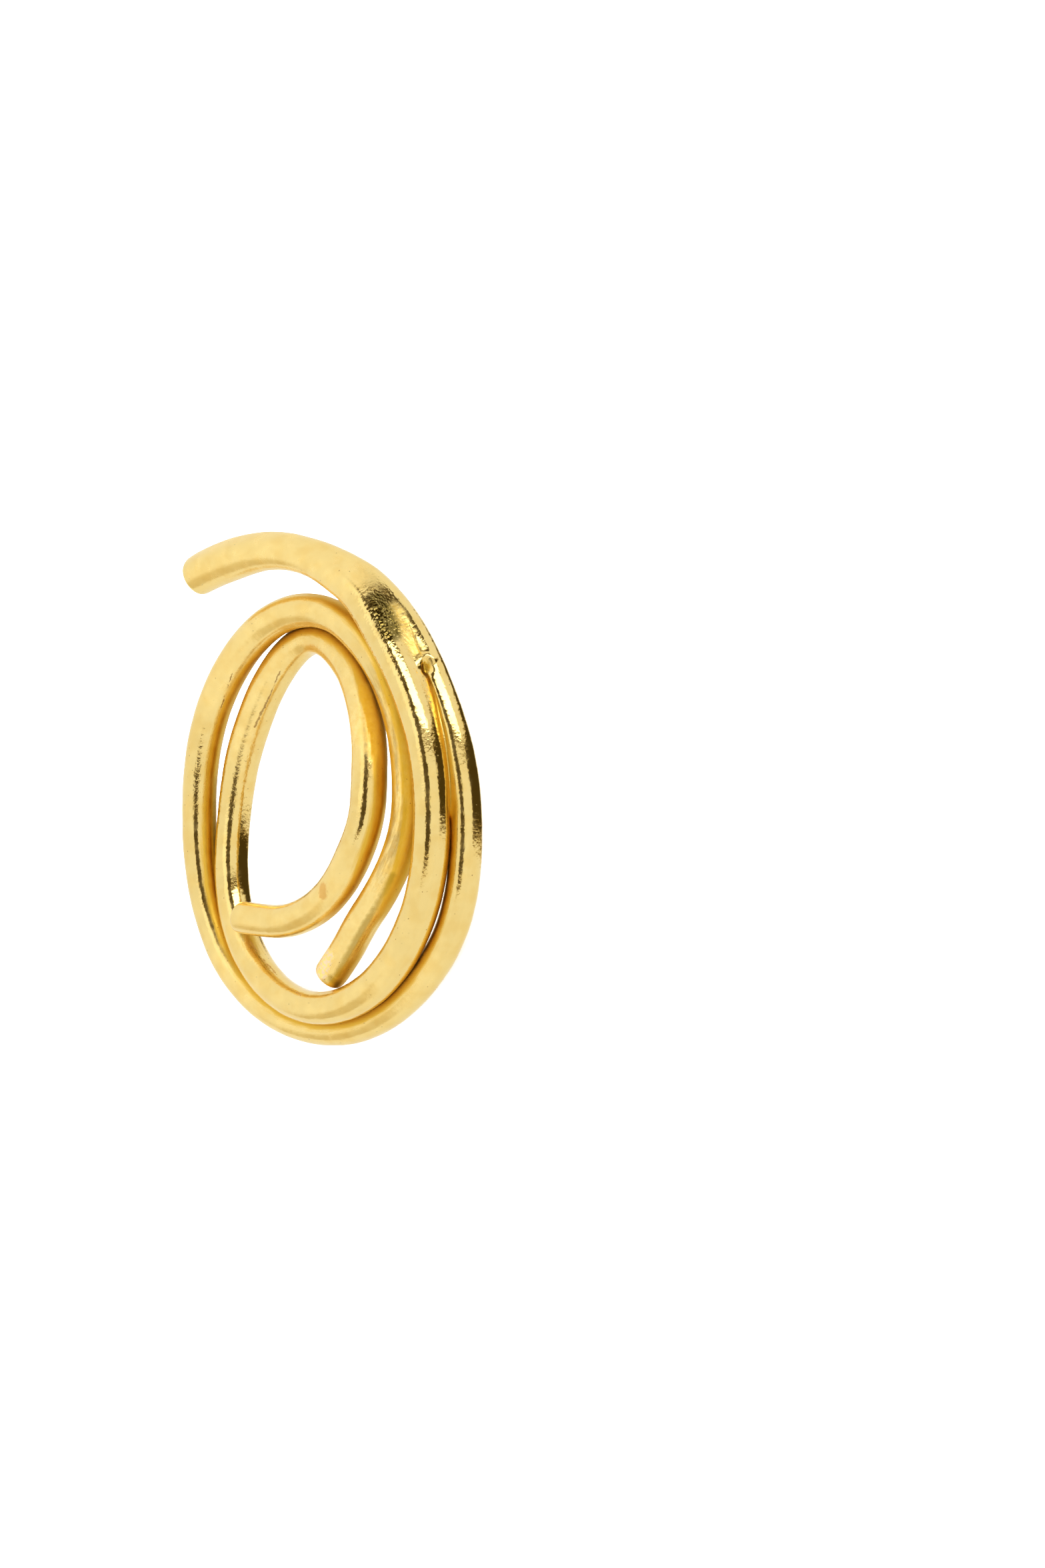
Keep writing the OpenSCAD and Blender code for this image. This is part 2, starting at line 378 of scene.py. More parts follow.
def bar_section(turn, run, along=0, inset=0):
    """Places of the bar's points: a rounded bar at the tail, two wires with a groove near the split."""
    outer, inner = centre(OUTER_WIRE, turn), centre(INNER_WIRE, turn)
    ahead = (heading(OUTER_WIRE, turn) + heading(INNER_WIRE, turn)).normalized()
    apart = outer - inner
    apart -= apart.dot(ahead) * ahead
    out = apart.normalized()
    front = ahead.cross(out)
    middle = (outer + inner) / 2 + ahead * along
    pinch = smooth_step(turn, *PINCH_TURNS)
    step = BAR_STEP + (RING_STEP - BAR_STEP) * pinch
    places = {}
    for sign, first, rows in ((1, 0, OUTER_WIRE), (-1, ARC_POINTS + 1, INNER_WIRE)):
        r = (radius(rows, turn) - inset) * cage_gain(step)
        for k in range(-ARC, ARC + 1):
            angle = math.radians(step * k)
            spoke = sign * math.cos(angle) * out + math.sin(angle) * front
            number = first + (k + ARC if sign > 0 else ARC - k)
            across = sign * (apart.length / 2 + r * math.cos(angle))
            unrolled = (run + along, across, r * math.sin(angle))
            places[number] = (middle + sign * apart / 2 + r * spoke, unrolled)
    distance, shift = waist(turn)
    r = (radius(OUTER_WIRE, turn) + radius(INNER_WIRE, turn)) / 2 - inset
    r *= distance * cage_gain(step)
    places[WAIST_FRONT] = (middle + front * r + out * shift, (run + along, shift, r))
    places[WAIST_BACK] = (middle - front * r, (run + along, 0, -r))
    places[WAIST_MIDDLE] = (middle, (run + along, 0, 0))
    return places


def wire_twist(rows, other):
    """Angle of the direction away from the other wire at the split, from the coil's outward direction."""
    ahead = heading(rows, SPLIT_TURN)
    away = centre(rows, SPLIT_TURN) - centre(other, SPLIT_TURN)
    outward = Vector((0, 0, 1)).cross(ahead).normalized()
    forward = ahead.cross(outward)
    return math.atan2(away.dot(forward), away.dot(outward))


def wire_section(rows, turn, run, twist, side, numbers, along=0, inset=0):
    """Places of one wire's ring of points, numbered as in the bar's section."""
    ahead = heading(rows, turn)
    outward = Vector((0, 0, 1)).cross(ahead).normalized()
    forward = ahead.cross(outward)
    r = (radius(rows, turn) - inset) * cage_gain(RING_STEP)
    middle = centre(rows, turn) + ahead * along
    aside = WIRE_D / 2 + SIDE_GAP * smooth_step(turn, *GAP_TURNS)
    places = {}
    for number, step in numbers.items():
        angle = math.radians(step)
        spoke = math.cos(twist + angle) * outward + math.sin(twist + angle) * forward
        unrolled = (run + along, side * (aside + r * math.cos(angle)), side * r * math.sin(angle))
        places[number] = (middle + r * spoke, unrolled)
    return places


bpy.ops.object.select_all(action="DESELECT")
bpy.ops.mesh.primitive_circle_add(vertices=SECTION_POINTS, radius=WIRE_D / 2, fill_type="NOTHING")
swirl = bpy.context.object
swirl.name = "swirl_metal"
bpy.ops.object.mode_set(mode="EDIT")
bpy.ops.mesh.select_mode(type="VERT")
bm = bmesh.from_edit_mesh(swirl.data)
number_layer = bm.verts.layers.int.new("number")
bm.verts.layers.float_vector.new("unrolled")
for i, v in enumerate(sorted(bm.verts, key=lambda v: math.atan2(v.co.y, v.co.x))):
    v[number_layer] = i
bmesh.update_edit_mesh(swirl.data)


def move_selected(places):
    """Moves each selected point to its place in a section."""
    bm = bmesh.from_edit_mesh(swirl.data)
    layer = bm.verts.layers.int["number"]
    unrolled = bm.verts.layers.float_vector["unrolled"]
    for v in bm.verts:
        if v.select:
            v.co, v[unrolled] = places[v[layer]]
    bmesh.update_edit_mesh(swirl.data)


def select_points(wanted):
    """Selects just the points of the last section that have these numbers."""
    bm = bmesh.from_edit_mesh(swirl.data)
    layer = bm.verts.layers.int["number"]
    for v in bm.verts:
        v.select = v.select and v[layer] in wanted
    bm.select_flush(True)
    bm.select_flush(False)
    bmesh.update_edit_mesh(swirl.data)


# the tail's cut end, then the bar, section by section down to the split
face_depth, face_inset = RIM_ROWS[-1]
move_selected(bar_section(TAIL_TURN, 0, -RIM_R * face_depth, RIM_R * face_inset))
bpy.ops.mesh.edge_face_add()
bpy.ops.mesh.select_mode(type="VERT")
for depth, inset in reversed(RIM_ROWS[:-1]):
    bpy.ops.mesh.extrude_region()
    move_selected(bar_section(TAIL_TURN, 0, -RIM_R * depth, RIM_R * inset))
bar_turns = [TAIL_TURN]
for start, end, step in BAR_STRETCHES:
    bar_turns += stations(OUTER_WIRE, start, end, step)[1:]
run = 0
runs = {OUTER: [], INNER: []}
for before, turn in zip([TAIL_TURN] + bar_turns, bar_turns):
    run += (centre(OUTER_WIRE, turn) - centre(OUTER_WIRE, before)).length
    bpy.ops.mesh.extrude_region()
    move_selected(bar_section(turn, run))
    for side in runs:
        runs[side].append((turn, run))

# the split: the section's face is halved through the waist, and each half is drawn on as a wire
bpy.ops.mesh.edge_face_add()
bpy.ops.mesh.select_mode(type="VERT")
select_points({WAIST_FRONT, WAIST_BACK})
bpy.ops.mesh.vert_connect()
bpy.ops.mesh.subdivide(number_cuts=1)
bm = bmesh.from_edit_mesh(swirl.data)
number_layer = bm.verts.layers.int["number"]
middle_place, middle_unrolled = bar_section(SPLIT_TURN, run)[WAIST_MIDDLE]
unrolled_layer = bm.verts.layers.float_vector["unrolled"]
halves = {}
for v in bm.verts:
    if (v.co - middle_place).length < 0.01:
        v[number_layer] = WAIST_MIDDLE
        v[unrolled_layer] = middle_unrolled
for face in bm.faces:
    numbers = {v[number_layer] for v in face.verts}
    if len(face.verts) == RING_POINTS and WAIST_MIDDLE in numbers:
        halves["outer" if 0 in numbers else "inner"] = face.index
bmesh.update_edit_mesh(swirl.data)
bpy.ops.mesh.select_mode(type="FACE")
outer_numbers = {k + ARC: RING_STEP * k for k in range(-ARC, ARC + 1)}
inner_numbers = {ARC_POINTS + 1 + ARC - k: -RING_STEP * k for k in range(-ARC, ARC + 1)}
outer_numbers.update({WAIST_FRONT: 180 - RING_STEP, WAIST_MIDDLE: 180, WAIST_BACK: 180 + RING_STEP})
inner_numbers.update({WAIST_FRONT: 180 + RING_STEP, WAIST_MIDDLE: 180, WAIST_BACK: 180 - RING_STEP})
for name, side, rows, other, numbers in (
    ("outer", OUTER, OUTER_WIRE, INNER_WIRE, outer_numbers),
    ("inner", INNER, INNER_WIRE, OUTER_WIRE, inner_numbers),
):
    bpy.ops.mesh.select_all(action="DESELECT")
    bm = bmesh.from_edit_mesh(swirl.data)
    bm.faces.ensure_lookup_table()
    bm.faces[halves[name]].select_set(True)
    bmesh.update_edit_mesh(swirl.data)
    end_turn = rows[-1][TURN]
    twist = wire_twist(rows, other)
    wire_turns = stations(rows, SPLIT_TURN, end_turn, WIRE_STEP)
    for before, turn in zip(wire_turns, wire_turns[1:]):
        run = runs[side][-1][1] + (centre(rows, turn) - centre(rows, before)).length
        runs[side].append((turn, run))
        bpy.ops.mesh.extrude_region()
        move_selected(wire_section(rows, turn, run, twist, side, numbers))
    for depth, inset in RIM_ROWS:
        bpy.ops.mesh.extrude_region()
        move_selected(wire_section(rows, end_turn, run, twist, side, numbers, RIM_R * depth, RIM_R * inset))
bpy.ops.mesh.select_all(action="SELECT")
bpy.ops.mesh.normals_make_consistent(inside=False)
bpy.ops.object.mode_set(mode="OBJECT")
bpy.ops.object.modifier_add(type="SUBSURF")
swirl.modifiers[-1].levels = SUBDIVISIONS
swirl.modifiers[-1].render_levels = SUBDIVISIONS
bpy.ops.object.modifier_apply(modifier=swirl.modifiers[-1].name)


def run_at(wire, turn):
    """How far along the metal from the tail's end a turn is."""
    spans = list(zip(runs[wire], runs[wire][1:]))
    (t0, run0), (t1, run1) = next((span for span in spans if turn <= span[1][0]), spans[-1])
    return run0 + (run1 - run0) * (turn - t0) / (t1 - t0)


# the solder ends in a small raised lip, curled round a pit at the head of the groove
LIP_TURN = 43.4
LIP_ACROSS = 0.78
LIP_R = 0.64
LIP_HEIGHT = 0.17
LIP_WIDTH = 0.34
LIP_FADE = (-0.2, 0.45)
LIP_REACH = 2.5
PIT_R = 0.42
PIT_DEPTH = 0.24
PIT_ALONG = 0.35
PIT_SHIFT = 0.1
PIT_STRETCH = 0.7
lip_run = run_at(OUTER, LIP_TURN)
normals = [v.normal.copy() for v in swirl.data.vertices]
for v, place, normal in zip(swirl.data.vertices, swirl.data.attributes["unrolled"].data, normals):
    along, across, forward = place.vector
    along -= lip_run
    from_pit = math.hypot(along, across - LIP_ACROSS)
    if forward > 0 and from_pit < LIP_REACH:
        lip = math.exp(-(((from_pit - LIP_R) / LIP_WIDTH) ** 2)) * (1 - smooth_step(along, *LIP_FADE))
        in_pit = math.hypot((along - PIT_ALONG) * PIT_STRETCH, across - LIP_ACROSS + PIT_SHIFT)
        pit = math.exp(-((in_pit / PIT_R) ** 2))
        v.co += normal * (LIP_HEIGHT * lip - PIT_DEPTH * pit)

# hammering left it slightly uneven: long soft swells, and shorter ones over them, by length and height
SWELLS = [(2.6, 0.05), (1.1, 0.012)]
for swell_length, swell_height in SWELLS:
    swell = bpy.data.textures.new("hammering", "CLOUDS")
    swell.noise_scale = swell_length
    swell.noise_depth = 1
    bpy.ops.object.modifier_add(type="DISPLACE")
    swirl.modifiers[-1].texture = swell
    swirl.modifiers[-1].strength = swell_height
    swirl.modifiers[-1].mid_level = 0.5
    bpy.ops.object.modifier_apply(modifier=swirl.modifiers[-1].name)

# a flat seat is filed on the back of the outer wire for the post's pad
SEAT_TURN = 358
SEAT_DEPTH = -2.7
SEAT_CUT_D = 3.2
SEAT_SIDES = 48
seat = centre(OUTER_WIRE, SEAT_TURN)
seat.z = SEAT_DEPTH
bpy.ops.object.select_all(action="DESELECT")
bpy.ops.mesh.primitive_cylinder_add(
    vertices=SEAT_SIDES, radius=SEAT_CUT_D / 2, depth=WIRE_D, location=seat - Vector((0, 0, WIRE_D / 2))
)
file_cut = bpy.context.object
bpy.context.view_layer.objects.active = swirl
bpy.ops.object.modifier_add(type="BOOLEAN")
swirl.modifiers[-1].object = file_cut
swirl.modifiers[-1].operation = "DIFFERENCE"
bpy.ops.object.modifier_apply(modifier=swirl.modifiers[-1].name)
bpy.data.objects.remove(file_cut, do_unlink=True)
bpy.ops.object.select_all(action="DESELECT")
swirl.select_set(True)

# polishing reaches the crevices less, so they are rougher, and their colour carries painted shade: each
# point keeps how much of its outlook the other turns close off
OUTLOOK = 4.5
OUTLOOK_RAYS = 36
OFF_SKIN = 0.03
CREASE = math.radians(35)
GOLDEN_ANGLE = math.pi * (3 - math.sqrt(5))
skin = BVHTree.FromObject(swirl, bpy.context.evaluated_depsgraph_get())
rays = []
for i in range(OUTLOOK_RAYS):
    out = math.sqrt((i + 0.5) / OUTLOOK_RAYS)
    angle = GOLDEN_ANGLE * i
    rays.append(Vector((out * math.cos(angle), out * math.sin(angle), math.sqrt(1 - out * out))))
crevice = swirl.data.attributes.new("crevice", "FLOAT", "POINT")
for v in swirl.data.vertices:
    facing = v.normal.to_track_quat("Z", "Y")
    start = v.co + v.normal * OFF_SKIN
    closed = 0
    for ray in rays:
        distance = skin.ray_cast(start, facing @ ray, OUTLOOK)[3]
        if distance is not None:
            closed += 1 - distance / OUTLOOK
    crevice.data[v.index].value = closed / OUTLOOK_RAYS

swirl.data.transform(WORN_TO_ROW)
bpy.ops.object.shade_smooth_by_angle(angle=CREASE)

# The finish is mirror polished gold plate over the hammered skin. The grain of the hammering stays as fine
# pebbles, the polishing as scratches along the wire, and there are stains, pores, fine cracks and a few
# marks. The colour also carries painted shade in the crevices and painted reflections in some places. It
# follows the unrolled metal, where lengths are in millimetres and scales are to the millimetre.
GOLD = (0.90, 0.68, 0.255, 1)
DEEP_GOLD = (0.84, 0.56, 0.15, 1)
# the colour of the painted orange shade and reflection on the flanks and in the dull places
ORANGE_GOLD = (0.64, 0.37, 0.016, 1)
# dark brown for pores and cracks, and for the painted shade where turns touch
TARNISH_AND_CONTACT_SHADE = (0.22, 0.09, 0.012, 1)
# the dark of a painted reflection between the pebbles of the bar's patch
PAINTED_DARK_REFLECTION = (0.12, 0.082, 0.006, 1)
UMBER = (0.34, 0.19, 0.04, 1)
STAIN_BROWN = (0.50, 0.24, 0.04, 1)
# the dark olive of painted reflection stripes
OLIVE = (0.36, 0.22, 0.02, 1)
BARE = (0.74, 0.60, 0.44, 1)
gold = bpy.data.materials.new("polished_gold")
gold.use_nodes = True
gold_tree = gold.node_tree
shader = gold_tree.nodes["Principled BSDF"]
shader.inputs["Metallic"].default_value = 1


def gold_node(kind, inputs, output=0, **settings):
    """Adds a node, feeds its inputs with values or outputs, and gives back one of its outputs."""
    node = gold_tree.nodes.new("ShaderNode" + kind)
    for name, value in settings.items():
        setattr(node, name, value)
    for name, value in inputs.items():
        if isinstance(value, bpy.types.NodeSocket):
            gold_tree.links.new(value, node.inputs[name])
        else:
            node.inputs[name].default_value = value
    return node.outputs[output]


def gold_math(operation, *values):
    """Adds a sum of values or outputs, and gives back its output."""
    return gold_node("Math", dict(enumerate(values)), operation=operation)


def gold_vector(operation, *values):
    """The same for vectors. A dot product and a length are numbers."""
    output = "Value" if operation in {"DOT_PRODUCT", "LENGTH"} else "Vector"
    return gold_node("VectorMath", dict(enumerate(values)), output, operation=operation)


def ramp(value, start, end, low=0.0, high=1.0):
    """Low up to the start and high past the end, rising smoothly between."""
    inputs = {"Value": value, "From Min": start, "From Max": end, "To Min": low, "To Max": high}
    return gold_node("MapRange", inputs, interpolation_type="SMOOTHSTEP")


def mix_colour(factor, a, b):
    """Colour a where the factor is 0 and b where it is 1."""
    node = gold_tree.nodes.new("ShaderNodeMix")
    node.data_type = "RGBA"
    for socket, value in zip((node.inputs[0], node.inputs[6], node.inputs[7]), (factor, a, b)):
        if isinstance(value, bpy.types.NodeSocket):
            gold_tree.links.new(value, socket)
        else:
            socket.default_value = value
    return node.outputs[2]


def noise(place, scale, detail=2.0, roughness=0.5):
    """Soft noise between 0 and 1 at a place."""
    return gold_node("TexNoise", {"Vector": place, "Scale": scale, "Detail": detail, "Roughness": roughness})


along_metal = gold_node("Attribute", {}, "Vector", attribute_name="unrolled")
run_along = gold_node("SeparateXYZ", {"Vector": along_metal})
across_metal = run_along.node.outputs["Y"]
millimetres = gold_vector("SCALE", gold_node("TexCoord", {}, "Object"))
millimetres.node.inputs["Scale"].default_value = 1 / MM
drawn_out = gold_vector("MULTIPLY", along_metal, (0.1, 1, 1))

# stretches that are satin and not mirror bright: wire, from turn, to turn, roughness added, mottling
SATIN = [
    (OUTER, -40, 18, 0.13, 0.1),
    (INNER, -40, 18, 0.13, 0.1),
    (OUTER, 128, 236, 0.12, 0.15),
    (OUTER, 300, 372, 0.12, 0.15),
    (INNER, 135, 238, 0.08, 0.1),
    (INNER, 290, 405, 0.12, 0.3),
    (INNER, 478, 590, 0.1, 0.15),
    (OUTER, 396, 482, 0.2, 1.0),
    (OUTER, 482, 540, 0.12, 0.3),
    (INNER, 392, 424, 0.12, 0.4),
]
SATIN_FADE = 2.5


def stretch(wire, start, end):
    """1 along a stretch of a wire, fading at both its ends."""
    first, last = run_at(wire, start), run_at(wire, end)
    on_side = gold_math("GREATER_THAN", gold_math("MULTIPLY", across_metal, wire), 0)
    risen = ramp(run_along, first - SATIN_FADE, first + SATIN_FADE)
    fallen = ramp(run_along, last - SATIN_FADE, last + SATIN_FADE, 1, 0)
    return gold_math("MULTIPLY", on_side, gold_math("MULTIPLY", risen, fallen))


def add_stretches(rows, total):
    """Adds the amount of each stretch that a place lies on."""
    for wire, start, end, amount in rows:
        total = gold_math("MULTIPLY_ADD", stretch(wire, start, end), amount, total)
    return total


satin, mottled = 0.0, 0.0
for wire, start, end, rough, mottling in SATIN:
    here = stretch(wire, start, end)
    satin = gold_math("MULTIPLY_ADD", here, rough, satin)
    mottled = gold_math("MULTIPLY_ADD", here, mottling, mottled)

# stretches whose skin is left coarse, so that what they mirror has ragged edges: wire, from turn, to turn,
# and how coarse
COARSE = [
    (INNER, 18, 112, 1),
    (OUTER, 18, 108, 1),
    (INNER, 400, 492, 1),
    (OUTER, 268, 296, 4),
    (INNER, 268, 300, 3),
]
coarse = add_stretches(COARSE, 0.0)

# Marks are capsules between two points on a wire's skin, with ragged edges. Each row is the wire, the turn
# and the angle round the wire of its first point and of its second, and half its width.
STAINS = [
    (INNER, 507.5, 94, 511.5, 78, 0.5),
    (INNER, 222, 148, 206, 164, 0.10),
    (INNER, 206, 164, 184, 136, 0.10),
]
CRACKS = [
    (INNER, 327, 136, 316.5, 148, 0.07),
    (INNER, 316.5, 148, 305, 140, 0.10),
    (OUTER, 315, 140, 303.5, 156, 0.045),
]
# places that are rougher, and whose orange colour is a painted reflection of the metal round them: the
# valley above the split, the pit under the lip and a stretch of the inner wire's flank
DULL_AND_REFLECTING_PLACES = [
    (OUTER, 26, 60, 40, 72, 0.8),
    (OUTER, 43.8, 46, 44.8, 48, 0.42),
    (INNER, 384, 27, 414, 36, 0.5),
]
# the pebbled patch on the bar, darkened between its pebbles by a painted reflection of the dark flag
PEBBLED_AND_REFLECTING = [(INNER, 21.5, 4, 31, 17, 1.15)]
# dark olive stripes along the outer wire's last stretch: a painted dark reflection
OLIVE_REFLECTION_STRIPES = [
    (OUTER, 474, 40, 500, 41, 0.3),
    (OUTER, 500, 41, 528, 36, 0.36),
    (OUTER, 530, 46, 531, 12, 0.4),
]
RAW_ENDS = [(OUTER, 525, 104, 531, 90, 0.8)]
# as shares of the half width, a mark is full up to its core and gone at this less the core
MARK_REACH = 1.8


def on_wire(wire, turn, angle):
    """The place on a wire's skin at a turn and an angle round it from outward to forward."""
    rows = OUTER_WIRE if wire == OUTER else INNER_WIRE
    ahead = heading(rows, turn)
    outward = Vector((0, 0, 1)).cross(ahead).normalized()
    spoke = math.cos(math.radians(angle)) * outward + math.sin(math.radians(angle)) * ahead.cross(outward)
    return WORN_TO_ROW @ (centre(rows, turn) + radius(rows, turn) * spoke) / MM


def mark_mask(marks, rag_scale, rag_size, core=0.6):
    """1 in the core of each mark and 0 outside them, with edges moved about by noise."""
    rag = gold_node("TexNoise", {"Vector": millimetres, "Scale": rag_scale}, 1)
    rag = gold_vector("SUBTRACT", rag, (0.5, 0.5, 0.5))
    ragged = gold_vector("MULTIPLY_ADD", rag, (rag_size, rag_size, rag_size), millimetres)
    total = 0.0
    for wire, turn0, angle0, turn1, angle1, half_width in marks:
        a, b = on_wire(wire, turn0, angle0), on_wire(wire, turn1, angle1)
        length_squared = (b - a).length_squared
        offset = gold_vector("SUBTRACT", ragged, tuple(a))
        share = gold_math("MULTIPLY", gold_vector("DOT_PRODUCT", offset, tuple(b - a)), 1 / length_squared)
        share = gold_node("Clamp", {"Value": share})
        nearest = gold_vector("SCALE", tuple(b - a))
        gold_tree.links.new(share, nearest.node.inputs["Scale"])
        distance = gold_vector("LENGTH", gold_vector("SUBTRACT", offset, nearest))
        here = ramp(distance, core * half_width, (MARK_REACH - core) * half_width, 1, 0)
        total = gold_math("MAXIMUM", total, here)
    return total


stained = mark_mask(STAINS, 4, 0.35)
cracked = mark_mask(CRACKS, 3, 0.25)
dulled_and_reflecting = mark_mask(DULL_AND_REFLECTING_PLACES, 2, 0.9, 0.1)
pebbled_and_reflecting = mark_mask(PEBBLED_AND_REFLECTING, 3, 0.5, 0.55)
reflection_stripes = mark_mask(OLIVE_REFLECTION_STRIPES, 2, 0.3, 0.3)
raw = mark_mask(RAW_ENDS, 3, 0.5)

# stretches that lie deep between others, where the painted crevice shade spreads further: wire, from turn,
# to turn, and how much further
DEEP_LYING = [
    (INNER, 384, 480, 4.0),
    (OUTER, 392, 490, 1.8),
    (OUTER, 236, 330, 0.8),
]
closeness = gold_node("Attribute", {}, "Fac", attribute_name="crevice")
crevices = gold_math("MULTIPLY", add_stretches(DEEP_LYING, 1.0), closeness)

# the noises that the finish is made from
grain = noise(along_metal, 3.6, 1, 0.4)
fine_grain = noise(along_metal, 11, 2)
streaks = noise(drawn_out, 5, 3)
ripple = noise(along_metal, 0.8, 1)
pebbles = {"Vector": along_metal, "Scale": 3.5, "Smoothness": 0.4}
pebbles = gold_node("TexVoronoi", pebbles, "Distance", feature="SMOOTH_F1")
pores = gold_node("TexVoronoi", {"Vector": along_metal, "Scale": 1.9}, "Distance")
pores = gold_math("MULTIPLY", ramp(pores, 0.05, 0.13, 1, 0), ramp(noise(along_metal, 1.3, 1), 0.52, 0.62))

# the flanks that face other turns are smoother than the open face and carry a painted orange shade, the
# reflection of the turns they face, with streaky edges; where turns touch there is painted dark shade
ragged_streaks = gold_math("SUBTRACT", streaks, 0.5)
flanks = ramp(gold_math("MULTIPLY_ADD", ragged_streaks, 0.2, crevices), 0.06, 0.3)
# painted dark shade where turns touch, from how closed off each point is
contact_shade = ramp(gold_math("MULTIPLY_ADD", ragged_streaks, 0.2, closeness), 0.66, 0.85)
open_face = gold_math("MULTIPLY_ADD", flanks, -0.85, 1)

# the pebbles are deepest just above the split and on the inner wire, where the bar was worked most
WORKED_FROM = (16, 20)
WORKED_TO = (26, 56)
worked = gold_math(
    "MULTIPLY",
    ramp(run_along, *(run_at(OUTER, turn) for turn in WORKED_FROM)),
    ramp(run_along, *(run_at(OUTER, turn) for turn in WORKED_TO), 1, 0),
)
worked = gold_math("MULTIPLY", worked, ramp(across_metal, -0.8, 0.4, 1, 0.25))
grain_depth = gold_math("MULTIPLY_ADD", worked, 0.003, 0.012)
grain_depth = gold_math("MULTIPLY", gold_math("MULTIPLY_ADD", coarse, 0.003, grain_depth), open_face)
pebble_depth = gold_math("MULTIPLY_ADD", worked, 0.022, gold_math("MULTIPLY", coarse, 0.003))
pebble_depth = gold_math("MULTIPLY", gold_math("MULTIPLY_ADD", pebbled_and_reflecting, 0.016, pebble_depth), open_face)
fine_depth = gold_math("MULTIPLY_ADD", coarse, 0.0022, 0.0012)

# the relief: each row is a noise or a mark and how deep it is, in millimetres
height = 0.0
for relief, depth in (
    (grain, grain_depth),
    (gold_math("MULTIPLY", pebbles, pebbles), pebble_depth),
    (fine_grain, fine_depth),
    (streaks, 0.004),
    (ripple, 0.02),
    (pores, -0.012),
    (cracked, -0.03),
    (gold_math("MULTIPLY", raw, fine_grain), 0.05),
):
    height = gold_math("MULTIPLY_ADD", relief, depth, height)
bump = gold_node("Bump", {"Height": height, "Distance": MM}, "Normal")
gold_tree.links.new(bump, shader.inputs["Normal"])

# the colour: deeper in soft patches, mottles and smears, with painted orange shade and reflection on the
# flanks and a painted orange reflection in the dull places, a painted dark reflection between the pebbles of
# the bar's patch and in stripes on the outer wire, painted dark shade where turns touch, darker in pores,
# cracks and stains, and pale at the raw end. Each row is a mask, how much of a colour it mixes in, and the
# colour.
patches = noise(along_metal, 0.55, 3)
mottles = gold_math("MULTIPLY", ramp(noise(along_metal, 1.6, 5, 0.65), 0.42, 0.62), mottled)
smears = ramp(noise(gold_vector("MULTIPLY", along_metal, (0.16, 1, 1)), 1.6, 5, 0.65), 0.42, 0.58)
colour = GOLD
for mask, amount, tone in (
    (ramp(patches, 0.42, 0.68), 0.4, DEEP_GOLD),
    (mottles, 0.8, DEEP_GOLD),
    (gold_math("MULTIPLY", smears, stretch(OUTER, 392, 478)), 0.55, UMBER),
    # painted orange shade and reflection on the flanks that face other turns
    (flanks, 0.85, ORANGE_GOLD),
    # painted orange reflection in the dull places
    (dulled_and_reflecting, ramp(noise(along_metal, 4, 3), 0.4, 0.6, 0.25, 0.6), ORANGE_GOLD),
    # painted dark reflection between the pebbles of the patch
    (pebbled_and_reflecting, ramp(pebbles, 0.16, 0.3, 0, 0.85), PAINTED_DARK_REFLECTION),
    # painted dark shade where turns touch
    (contact_shade, 0.5, TARNISH_AND_CONTACT_SHADE),
    (pores, 0.7, TARNISH_AND_CONTACT_SHADE),
    (cracked, 0.65, TARNISH_AND_CONTACT_SHADE),
    (stained, 0.65, STAIN_BROWN),
    # painted dark reflection stripes on the outer wire
    (reflection_stripes, 0.65, OLIVE),
    (raw, ramp(grain, 0.45, 0.6, 0, 0.8), BARE),
):
    colour = mix_colour(gold_math("MULTIPLY", mask, amount), colour, tone)
gold_tree.links.new(colour, shader.inputs["Base Color"])

# the shine: clouded all over, satin along some stretches, and rougher wherever a mask below says so
shine = gold_math("ADD", satin, ramp(noise(along_metal, 0.9, 4, 0.6), 0.35, 0.75, 0.06, 0.17))
for mask, roughness in ((flanks, 0.22), (dulled_and_reflecting, 0.28), (stained, 0.2), (raw, 0.25)):
    shine = gold_math("MULTIPLY_ADD", mask, roughness, shine)
gold_tree.links.new(shine, shader.inputs["Roughness"])

swirl.data.materials.append(gold)
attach(swirl, "root")
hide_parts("swirl")

# The ear post is a straight brass pin on a round pad, gold plated like the rest. The pad is soldered to the
# flat seat behind the top of the coil, and the pin goes through the ear. It is plain, with a rounded tip.
# Each row is a ring round the pin: its distance from the seat and its radius.
POST_SIDES = 48
SOLDER_GAP = 0.01
PIN_CREASE = math.radians(40)
PIN_CLOUDS = 900
PIN_RELIEF = 0.01 * MM
POST_RINGS = [
    (0.0, 1.19),
    (0.05, 1.2),
    (0.42, 1.2),
    (0.54, 1.15),
    (0.6, 1.02),
    (0.62, 0.7),
    (0.68, 0.56),
    (0.8, 0.48),
    (1.0, 0.45),
    (9.33, 0.45),
    (9.5, 0.42),
    (9.6, 0.33),
    (9.65, 0.2),
]
bpy.ops.object.select_all(action="DESELECT")
bpy.ops.mesh.primitive_circle_add(
    vertices=POST_SIDES,
    radius=POST_RINGS[0][1],
    fill_type="NGON",
    location=seat - Vector((0, 0, SOLDER_GAP)),
)
post = bpy.context.object
post.name = "ear_pin"
bpy.ops.object.transform_apply(location=True, rotation=True, scale=True)
bpy.ops.object.mode_set(mode="EDIT")
bpy.ops.mesh.select_all(action="SELECT")
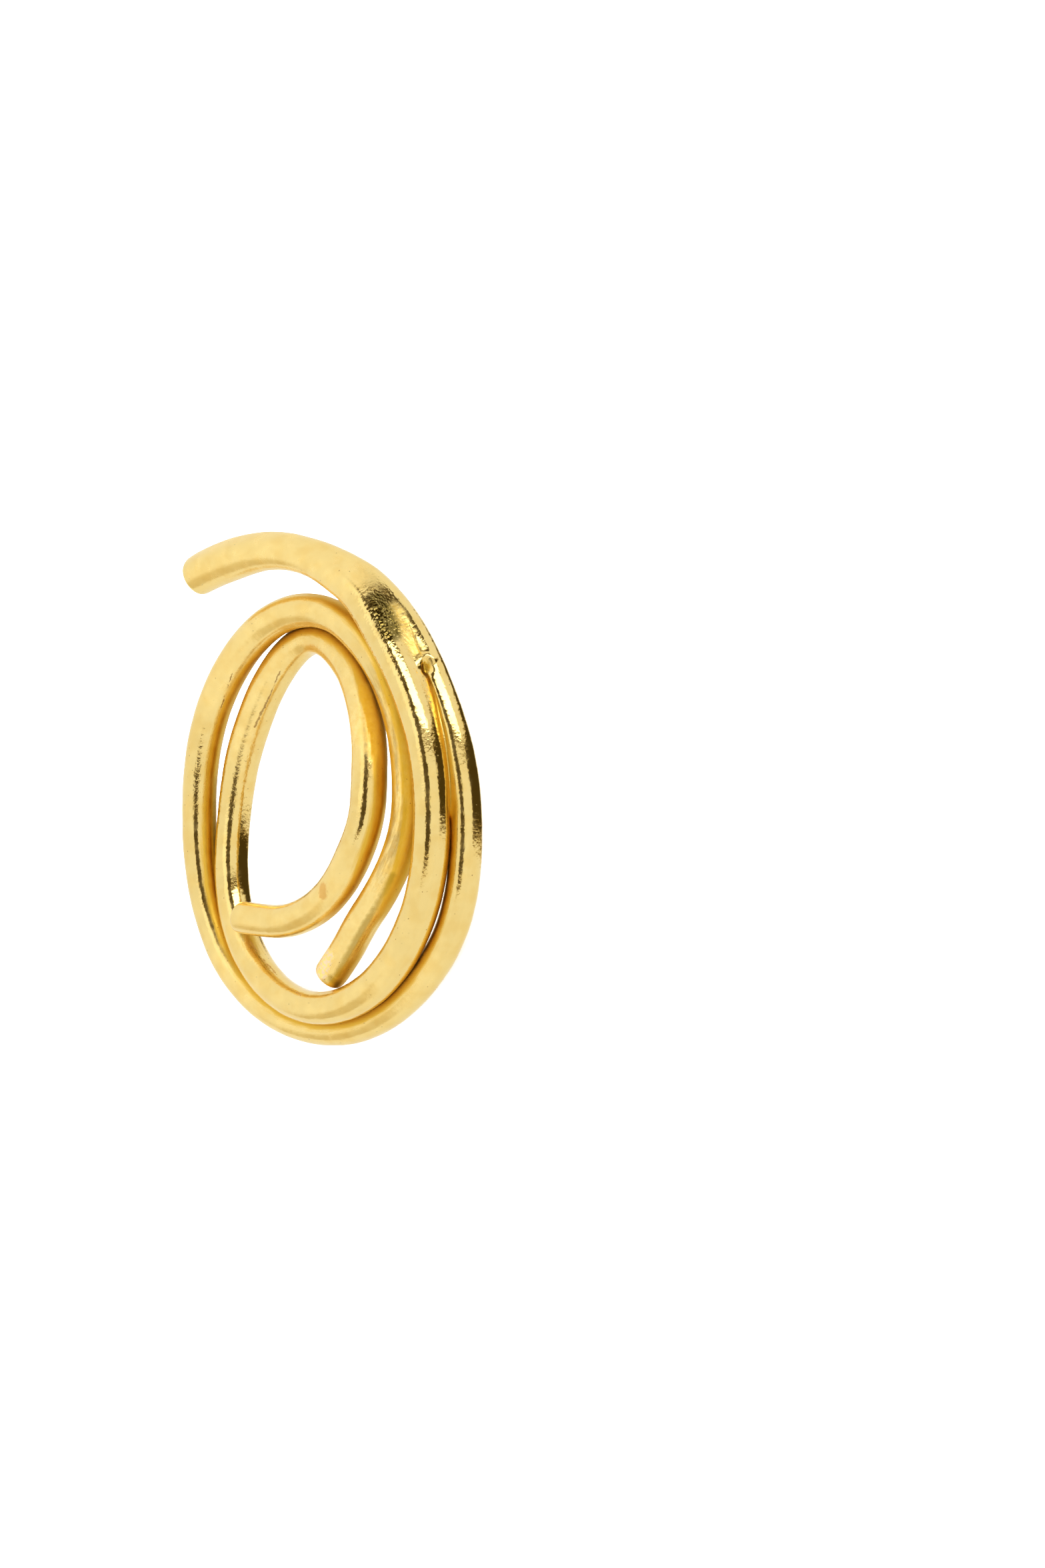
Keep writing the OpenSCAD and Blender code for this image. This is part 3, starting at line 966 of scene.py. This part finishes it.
for (z0, r0), (z1, r1) in zip(POST_RINGS, POST_RINGS[1:]):
    bpy.ops.mesh.extrude_region()
    bpy.ops.transform.translate(value=(0, 0, z0 - z1))
    bpy.ops.transform.resize(value=(r1 / r0, r1 / r0, 1), center_override=seat)
bpy.ops.mesh.select_all(action="SELECT")
bpy.ops.mesh.normals_make_consistent(inside=False)
bpy.ops.object.mode_set(mode="OBJECT")
post.data.transform(WORN_TO_ROW)
bpy.ops.object.shade_smooth_by_angle(angle=PIN_CREASE)
plated = bpy.data.materials.new("plated_pin")
plated.use_nodes = True
plated_tree = plated.node_tree
plated_shader = plated_tree.nodes["Principled BSDF"]
plated_shader.inputs["Metallic"].default_value = 1
pin_place = plated_tree.nodes.new("ShaderNodeTexCoord").outputs["Object"]
pin_cloud = plated_tree.nodes.new("ShaderNodeTexNoise")
pin_cloud.inputs["Scale"].default_value = PIN_CLOUDS
pin_cloud.inputs["Detail"].default_value = 4
plated_tree.links.new(pin_place, pin_cloud.inputs["Vector"])
pin_colour = plated_tree.nodes.new("ShaderNodeValToRGB")
pin_colour.color_ramp.elements[0].position = 0.35
pin_colour.color_ramp.elements[0].color = DEEP_GOLD
pin_colour.color_ramp.elements[1].position = 0.62
pin_colour.color_ramp.elements[1].color = GOLD
plated_tree.links.new(pin_cloud.outputs[0], pin_colour.inputs[0])
plated_tree.links.new(pin_colour.outputs[0], plated_shader.inputs["Base Color"])
pin_rough = plated_tree.nodes.new("ShaderNodeMapRange")
pin_rough.inputs["To Min"].default_value = 0.1
pin_rough.inputs["To Max"].default_value = 0.3
plated_tree.links.new(pin_cloud.outputs[0], pin_rough.inputs["Value"])
plated_tree.links.new(pin_rough.outputs[0], plated_shader.inputs["Roughness"])
pin_bump = plated_tree.nodes.new("ShaderNodeBump")
pin_bump.inputs["Distance"].default_value = PIN_RELIEF
plated_tree.links.new(pin_cloud.outputs[0], pin_bump.inputs["Height"])
plated_tree.links.new(pin_bump.outputs[0], plated_shader.inputs["Normal"])
post.data.materials.append(plated)
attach(post, "root")
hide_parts("ear_post")
